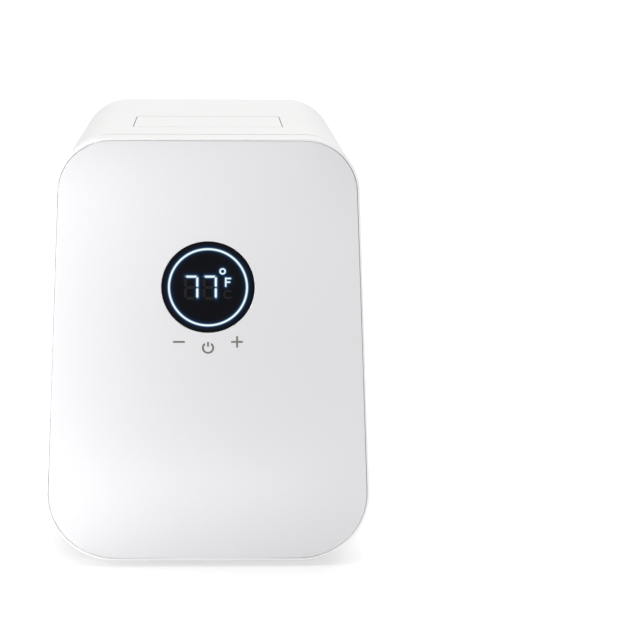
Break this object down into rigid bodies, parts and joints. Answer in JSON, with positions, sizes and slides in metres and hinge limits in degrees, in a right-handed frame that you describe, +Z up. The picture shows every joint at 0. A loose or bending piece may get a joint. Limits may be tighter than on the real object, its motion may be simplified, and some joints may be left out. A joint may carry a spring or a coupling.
{
  "type": "dough proofer",
  "caption": "Counter-top thermoelectric proofing cabinet: insulated box with a hinged display door, flush flip-up carry handle, fans, heat sinks and an inner jar rack.",
  "frame": {"origin": "on the worktop, at the middle of the footprint's bounding box", "axes": "+X to the viewer's right when facing the door, -Y towards the front, +Z up"},
  "size_m": [0.1888, 0.2361, 0.253],
  "materials": {
    "shell_white": "satin",
    "tray_white": "satin",
    "panel_white": "gloss",
    "liner_white": "satin",
    "cover_white": "satin",
    "window_black": "gloss",
    "display_lit": "gloss",
    "display_unlit": "matte",
    "symbol_taupe": "satin",
    "feet_rubber": "matte",
    "gasket_rubber": "matte",
    "foam": "matte",
    "bulkhead_grey": "matte",
    "fan_black": "satin",
    "stator_copper": "satin",
    "sink_aluminium": "satin",
    "cell_ceramic": "matte",
    "board_green": "satin",
    "parts_black": "satin",
    "screw_steel": "satin",
    "pin_steel": "polished",
    "bracket_steel": "satin",
    "bush_brass": "satin",
    "rack_chrome": "polished"
  },
  "bodies": {
    "cabinet": {"back_cover": "cover_white", "board_parts": "parts_black", "board_screws": "screw_steel", "bracket_screws": "screw_steel", "bulkhead": "bulkhead_grey", "cabinet_shell": "shell_white", "cold_sink": "sink_aluminium", "control_board": "board_green", "cover_screws": "screw_steel", "foot_back_left": "feet_rubber", "foot_back_right": "feet_rubber", "foot_front_left": "feet_rubber", "foot_front_right": "feet_rubber", "front_bezel": "liner_white", "handle_pins": "pin_steel", "handle_tray": "tray_white", "hinge_bracket_lower": "bracket_steel", "hinge_bracket_upper": "bracket_steel", "hinge_pin_lower": "pin_steel", "hinge_pin_upper": "pin_steel", "hot_sink": "sink_aluminium", "inner_fan_frame": "fan_black", "inner_fan_screws": "screw_steel", "inner_fan_stator": "stator_copper", "inner_grille": "liner_white", "inner_liner": "liner_white", "jar_rack": "rack_chrome", "outer_fan_frame": "fan_black", "outer_fan_screws": "screw_steel", "outer_fan_stator": "stator_copper", "power_jack": "fan_black", "rear_insulation": "foam", "sink_screws": "screw_steel", "spacer_block": "sink_aluminium", "strike_plate_lower": "pin_steel", "strike_plate_upper": "pin_steel", "surround_insulation": "foam", "temperature_sensor": "pin_steel", "thermoelectric_cell": "cell_ceramic"},
    "door": {"door_frame": "shell_white", "front_panel": "panel_white", "display_window": "window_black", "light_ring": "display_lit", "lit_segments": "display_lit", "unlit_segments": "display_unlit", "minus_symbol": "symbol_taupe", "plus_symbol": "symbol_taupe", "power_symbol": "symbol_taupe", "display_board": "board_green", "door_insulation": "foam", "door_liner": "liner_white", "door_gasket": "gasket_rubber", "door_screws": "screw_steel", "hinge_bushes": "bush_brass", "door_magnet_lower": "pin_steel", "door_magnet_upper": "pin_steel"},
    "handle": {"carry_handle": "shell_white"},
    "inner_fan": {"inner_fan_rotor": "fan_black"},
    "outer_fan": {"outer_fan_rotor": "fan_black"}
  },
  "joints": [
    {"name": "door_hinge", "type": "hinge", "parent": "cabinet", "child": "door", "pos_m": [0.08395, -0.10625, 0.1285], "axis": [-0.0541, 0, 0.9985], "range_deg": [0, 105]},
    {"name": "handle_hinge", "type": "hinge", "parent": "cabinet", "child": "handle", "pos_m": [0, -0.01675, 0.248], "axis": [-1, 0, 0], "range_deg": [0, 90]},
    {"name": "inner_fan_spin", "type": "hinge", "parent": "cabinet", "child": "inner_fan", "pos_m": [0, 0.05025, 0.14], "axis": [0, 1, 0], "continuous": true},
    {"name": "outer_fan_spin", "type": "hinge", "parent": "cabinet", "child": "outer_fan", "pos_m": [0, 0.10795, 0.14], "axis": [0, 1, 0], "continuous": true}
  ]
}
